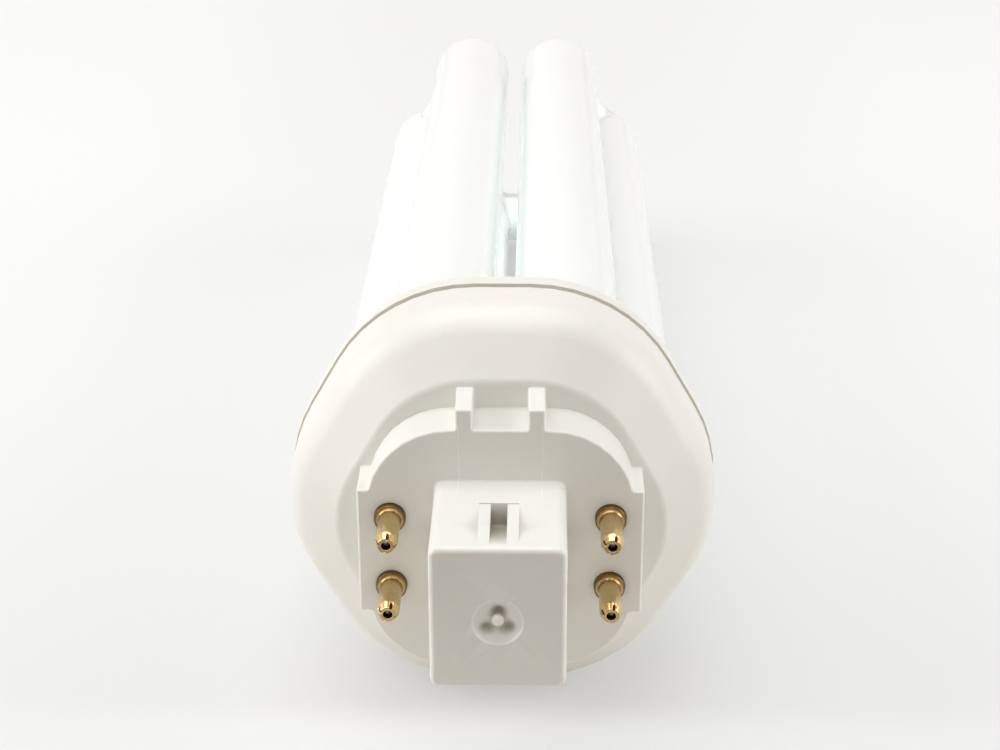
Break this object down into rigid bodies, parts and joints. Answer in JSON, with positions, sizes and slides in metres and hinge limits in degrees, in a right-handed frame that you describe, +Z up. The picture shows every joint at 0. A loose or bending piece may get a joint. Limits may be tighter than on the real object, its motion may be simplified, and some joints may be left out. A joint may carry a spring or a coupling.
{
  "type": "four pin compact fluorescent lamp",
  "caption": "Compact fluorescent lamp: a bundle of joined glass tubes in a moulded push-in cap with a keyed pin block, contact pins and a square latching post.",
  "frame": {"origin": "on the lamp's axis, in the plane where the four contact pins leave the cap", "axes": "+X across the two columns of pins, +Y along the lamp from the pin plane towards the tube ends, +Z up through the two key ribs"},
  "size_m": [0.0476, 0.163, 0.046],
  "materials": {
    "cap_plastic": "fine satin moulded surface",
    "coated_glass": "glossy glass over a white inner coating, so it can't be seen through",
    "pin_brass": "turned, slightly tarnished",
    "tinned_wire": "drawn and tinned",
    "socket_cement": "dry, slightly rough"
  },
  "bodies": {
    "root": {"cap_housing": "cap_plastic", "tube_holder": "cap_plastic", "discharge_tube": "coated_glass", "contact_pin_1": "pin_brass", "contact_pin_2": "pin_brass", "contact_pin_3": "pin_brass", "contact_pin_4": "pin_brass", "lead_wire_1": "tinned_wire", "lead_wire_2": "tinned_wire", "lead_wire_3": "tinned_wire", "lead_wire_4": "tinned_wire", "socket_cement_1": "socket_cement", "socket_cement_2": "socket_cement", "socket_cement_3": "socket_cement", "socket_cement_4": "socket_cement", "socket_cement_5": "socket_cement", "socket_cement_6": "socket_cement"}
  },
  "joints": []
}
